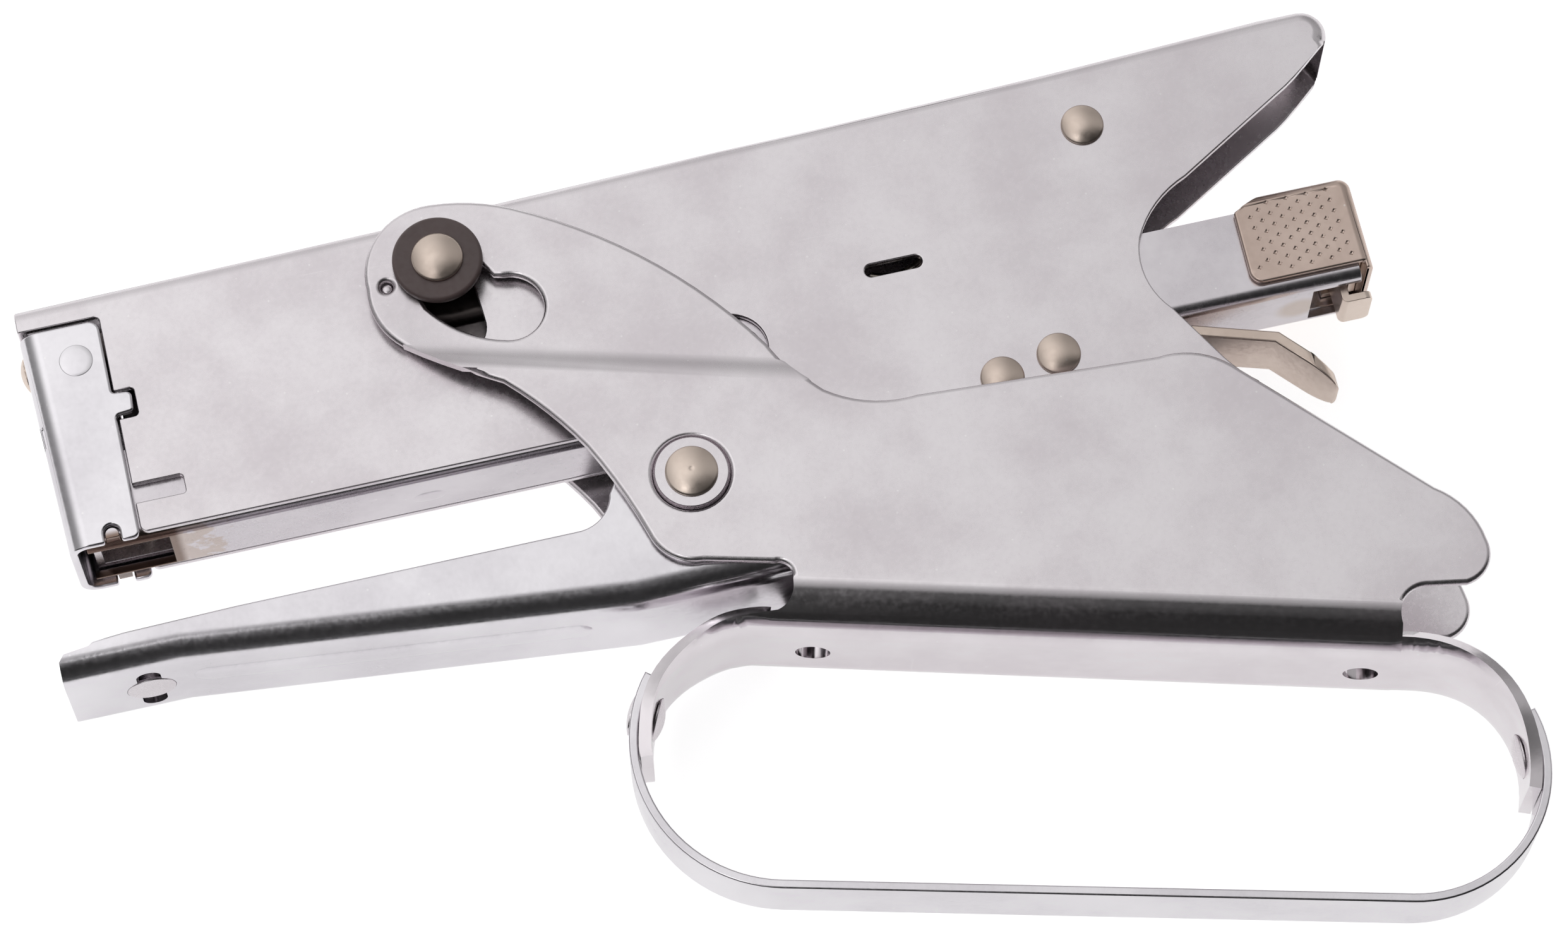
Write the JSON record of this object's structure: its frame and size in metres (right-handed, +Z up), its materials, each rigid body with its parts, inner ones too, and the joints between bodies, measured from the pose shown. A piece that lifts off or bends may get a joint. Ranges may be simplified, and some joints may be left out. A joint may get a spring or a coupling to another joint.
{
  "type": "plier stapler",
  "caption": "Hand-squeezed plier stapler: folded housing with staple channel, hinged anvil arm, cam handle with finger loop and a sliding pusher cassette.",
  "frame": {"origin": "centre of the bottom of the bounding box, on the surface the tool lies on", "axes": "+X along the staple channel from nose to tail, +Y from the finger loop to the top of the housing, +Z up through the thickness"},
  "size_m": [0.1736, 0.1166, 0.025],
  "materials": {
    "plated_sheet": "satin zinc plated",
    "bright_sheet": "bright plated",
    "nickel": "warm satin nickel",
    "dark_steel": "blackened",
    "spring_wire": "drawn wire",
    "roller_plastic": "satin"
  },
  "bodies": {
    "frame": {"frame_housing": "plated_sheet", "nose_cover": "bright_sheet", "nose_rivet": "nickel", "magazine_channel": "plated_sheet", "driver_pivot_rivet": "nickel", "latch_pivot_rivet": "nickel", "lower_frame_rivet": "nickel", "jaw_pivot_pin": "plated_sheet"},
    "arm": {"anvil_arm": "bright_sheet", "anvil_plate": "plated_sheet", "handle_pivot_rivet": "nickel", "pivot_washers": "plated_sheet"},
    "handle": {"handle_shell": "plated_sheet", "finger_loop": "bright_sheet", "loop_rivets": "plated_sheet"},
    "driver": {"driver_lever": "dark_steel", "driver_spring": "spring_wire", "roller_axle": "nickel"},
    "roller_near": {"cam_roller_near": "roller_plastic"},
    "roller_far": {"cam_roller_far": "roller_plastic"},
    "blade": {"driver_blade": "dark_steel"},
    "latch": {"release_lever": "nickel"},
    "cassette": {"end_cap": "nickel", "rod_holder": "nickel", "pusher_rod": "nickel", "latch_hook": "nickel", "pusher_spring": "spring_wire"},
    "follower": {"pusher": "plated_sheet"}
  },
  "joints": [
    {"name": "handle_hinge", "type": "hinge", "parent": "arm", "child": "handle", "pos_m": [-0.00738, 0.0126, 0.0125], "axis": [0, 0, 1], "range_deg": [0, 20]},
    {"name": "jaw_hinge", "type": "hinge", "parent": "frame", "child": "arm", "pos_m": [0.04292, 0.0083, 0.0125], "axis": [0, 0, 1], "range_deg": [-6, 0]},
    {"name": "driver_hinge", "type": "hinge", "parent": "frame", "child": "driver", "pos_m": [0.05082, 0.0486, 0.0125], "axis": [0, 0, 1], "range_deg": [0, 5.3]},
    {"name": "blade_slide", "type": "slide", "parent": "frame", "child": "blade", "axis": [0.0394, -0.9992, 0], "range_m": [0, 0.0123]},
    {"name": "roller_near_spin", "type": "hinge", "parent": "driver", "child": "roller_near", "pos_m": [-0.03178, 0.0473, 0.0225], "axis": [0, 0, 1], "continuous": true},
    {"name": "roller_far_spin", "type": "hinge", "parent": "driver", "child": "roller_far", "pos_m": [-0.03178, 0.0473, 0.0025], "axis": [0, 0, 1], "continuous": true},
    {"name": "latch_hinge", "type": "hinge", "parent": "frame", "child": "latch", "pos_m": [0.04042, 0.0192, 0.0125], "axis": [0, 0, 1], "range_deg": [-6, 0]},
    {"name": "cassette_slide", "type": "slide", "parent": "frame", "child": "cassette", "axis": [1, 0, 0], "range_m": [0, 0.1]},
    {"name": "pusher_slide", "type": "slide", "parent": "cassette", "child": "follower", "axis": [1, 0, 0], "range_m": [0, 0.08], "deforming": ["pusher_spring"]}
  ],
  "couplings": [
    {"joint": "jaw_hinge", "follows": "handle_hinge", "ratio": -0.3},
    {"joint": "driver_hinge", "follows": "handle_hinge", "ratio": 0.265},
    {"joint": "blade_slide", "follows": "handle_hinge", "m_per_rad": 0.035236}
  ]
}
